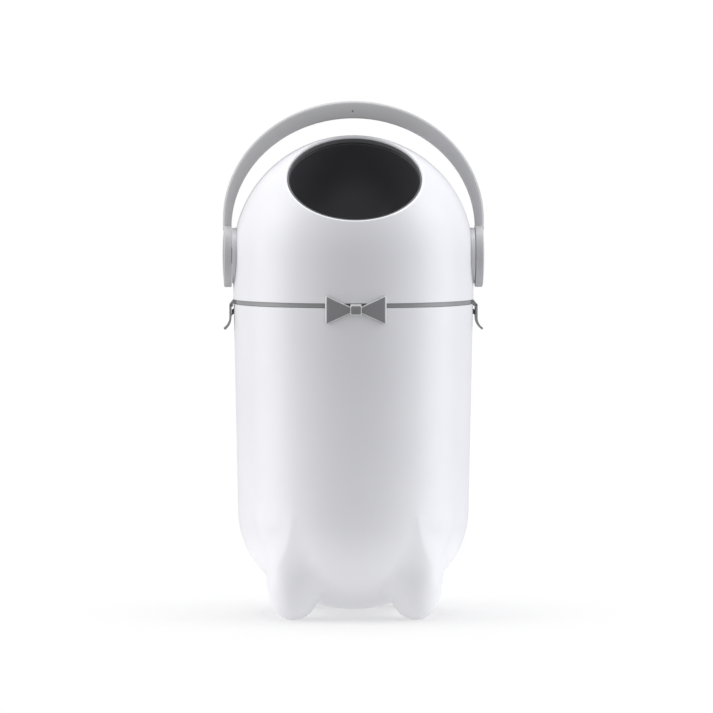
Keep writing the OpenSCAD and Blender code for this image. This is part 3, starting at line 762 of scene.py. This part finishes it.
def bow_wings():
    """Both wings with rounded front edges, and the pegs behind them."""
    turns = np.linspace(0, math.pi / 2, 5)
    steps = [(BOW_BEVEL * (1 - math.sin(t)), bow_out_r - BOW_BEVEL * (1 - math.cos(t))) for t in turns]
    loops = [border(bow_level(inset, r)) for inset, r in steps] + [border(bow_level(0, bow_in_r))]
    front = grid_mesh("front", bow_level(BOW_BEVEL, bow_out_r), close_columns=False)
    back = grid_mesh("back", bow_level(0, bow_in_r), close_columns=False)
    wings = welded(joined("wings", [grid_mesh("edge", loops), front, back]), 1e-6)
    mesh = joined("bow_tie_wings", [wings, *wing_pegs()])
    smooth(mesh, 30)
    # The wings' edges get a painted highlight in a lighter grey.
    paint_edge_highlights(add_object("bow_tie_wings", mesh, "grey_trim", "bin", "bow_wings", material=bow_grey))


def paint_edge_highlights(piece):
    """Paints a highlight: every face that doesn't look straight ahead gets a lighter grey, standing in for light
    on the bow tie's top and side edges.
    """
    piece.data.materials.append(bow_edge_painted_highlight)
    for face in piece.data.polygons:
        face.material_index = 0 if abs(face.normal.y) > LOOKS_AHEAD else 1


def bow_knot():
    """The knot: a band with a round front."""
    half_h = knot_high.z - bow_z
    front_y, back_y = knot_low.y, knot_high.y
    round_r = 2 * half_h
    centre_y = front_y + round_r
    front = [(centre_y - math.sqrt(round_r**2 - z * z), z) for z in np.linspace(-half_h, half_h, 13)]
    outline = [(y, bow_z + z) for y, z in front] + [(back_y, bow_z + half_h), (back_y, bow_z - half_h)]
    mesh = prism("bow_tie_knot", outline, -knot_half, knot_half, KNOT_BEVEL)
    mesh = moved(mesh, Matrix.Rotation(math.pi / 2, 4, "Z") @ Matrix.Scale(-1, 4, (0, 1, 0)))
    smooth(mesh, 40)
    # The knot's edges get a painted highlight in a lighter grey.
    paint_edge_highlights(add_object("bow_tie_knot", mesh, "grey_trim", "bin", "bow_knot", material=bow_grey))


# ---- Stage ----

CAMERA_DISTANCE = 5.5
CAMERA_AZIMUTH = -1.20
CAMERA_HEIGHT = 0.5703
CAMERA_AIM = (0.0036, 0.0, 0.2913)
FRAME_WIDTH_PX = 713
FOCAL_PX = 4867.7
SENSOR_MM = 36
WORLD_LIGHT = 0.46
LIGHT_AIM = (0, 0, 0.3)
FLOOR_R = 0.38
FLOOR_FADE = (0.08, 0.36)
FLOOR_GLOW = 0.42


def add_camera():
    """The camera at the photograph's place, worked out from the bin's own outline."""
    turn = math.radians(CAMERA_AZIMUTH)
    place = Vector((CAMERA_DISTANCE * math.sin(turn), -CAMERA_DISTANCE * math.cos(turn), CAMERA_HEIGHT))
    data = bpy.data.cameras.new("camera")
    data.sensor_width = SENSOR_MM
    data.lens = FOCAL_PX / FRAME_WIDTH_PX * SENSOR_MM
    data.clip_end = 200
    camera = bpy.data.objects.new("camera", data)
    camera.location = place
    camera.rotation_euler = (Vector(CAMERA_AIM) - place).to_track_quat("-Z", "Y").to_euler()
    bpy.context.scene.collection.objects.link(camera)
    bpy.context.scene.camera = camera


def add_light(name, place, size, power, color=(1, 1, 1)):
    """A rectangular softbox that faces the bin, its size in metres and its power in watts."""
    data = bpy.data.lights.new(name, "AREA")
    data.shape = "RECTANGLE"
    data.size, data.size_y = size
    data.energy = power
    data.color = color
    light = bpy.data.objects.new(name, data)
    light.location = place
    light.rotation_euler = (Vector(LIGHT_AIM) - Vector(place)).to_track_quat("-Z", "Y").to_euler()
    bpy.context.scene.collection.objects.link(light)


def add_world():
    """White surroundings as the camera sees them, with a softer level as light."""
    world = bpy.data.worlds.new("studio")
    bpy.context.scene.world = world
    world.use_nodes = True
    nodes, links = world.node_tree.nodes, world.node_tree.links
    background = nodes["Background"]
    background.inputs["Color"].default_value = (0.97, 0.97, 1, 1)
    background.inputs["Strength"].default_value = WORLD_LIGHT
    seen = nodes.new("ShaderNodeBackground")
    seen.inputs["Color"].default_value = (1, 1, 1, 1)
    seen.inputs["Strength"].default_value = 1.0
    path = nodes.new("ShaderNodeLightPath")
    mix = nodes.new("ShaderNodeMixShader")
    links.new(path.outputs["Is Camera Ray"], mix.inputs["Fac"])
    links.new(background.outputs["Background"], mix.inputs[1])
    links.new(seen.outputs["Background"], mix.inputs[2])
    links.new(mix.outputs["Shader"], nodes["World Output"].inputs["Surface"])


def floor_material():
    """A pale matt floor that glows more and more, to pure white, away from its middle."""
    material, nodes, links, shader = new_material("pale_floor")
    shader.inputs["Base Color"].default_value = (0.9, 0.9, 0.9, 1)
    shader.inputs["Roughness"].default_value = 0.6
    glow = nodes.new("ShaderNodeEmission")
    glow.inputs["Color"].default_value = (1, 1, 1, 1)
    place = nodes.new("ShaderNodeTexCoord")
    distance = nodes.new("ShaderNodeVectorMath")
    distance.operation = "LENGTH"
    links.new(place.outputs["Object"], distance.inputs[0])
    fade = nodes.new("ShaderNodeMapRange")
    fade.interpolation_type = "SMOOTHSTEP"
    fade.inputs["From Min"].default_value, fade.inputs["From Max"].default_value = FLOOR_FADE
    fade.inputs["To Min"].default_value = FLOOR_GLOW
    links.new(distance.outputs["Value"], fade.inputs["Value"])
    mix = nodes.new("ShaderNodeMixShader")
    links.new(fade.outputs["Result"], mix.inputs["Fac"])
    links.new(shader.outputs["BSDF"], mix.inputs[1])
    links.new(glow.outputs["Emission"], mix.inputs[2])
    links.new(mix.outputs["Shader"], nodes["Material Output"].inputs["Surface"])
    return material


def add_floor():
    """A round floor that takes the bin's soft shadow and fades into the white around it."""
    angles = np.linspace(0, 2 * math.pi, 64, False)
    ring = [(FLOOR_R * math.cos(t), FLOOR_R * math.sin(t), 0) for t in angles]
    mesh = bpy.data.meshes.new("floor")
    mesh.from_pydata(ring, [], [tuple(range(len(ring)))])
    mesh.materials.append(floor_material())
    floor = bpy.data.objects.new("floor", mesh)
    bpy.context.scene.collection.objects.link(floor)


def add_lights():
    """Two tall softboxes beside the bin and one above it, with none on the camera's side."""
    add_light("left_softbox", (-1.8, -0.15, 0.7), (1.3, 2.2), 24)
    add_light("right_softbox", (1.8, -0.15, 0.7), (1.3, 2.2), 24, (0.97, 0.98, 1))
    add_light("top_softbox", (0, 0.22, 2.1), (1.4, 1.4), 21)


finish_cad_nodes()
bin_body()
catches()
drum_bowl()
handle()
bow_wings()
bow_knot()
add_camera()
add_world()
add_floor()
add_lights()
bpy.context.scene.view_settings.view_transform = "Standard"
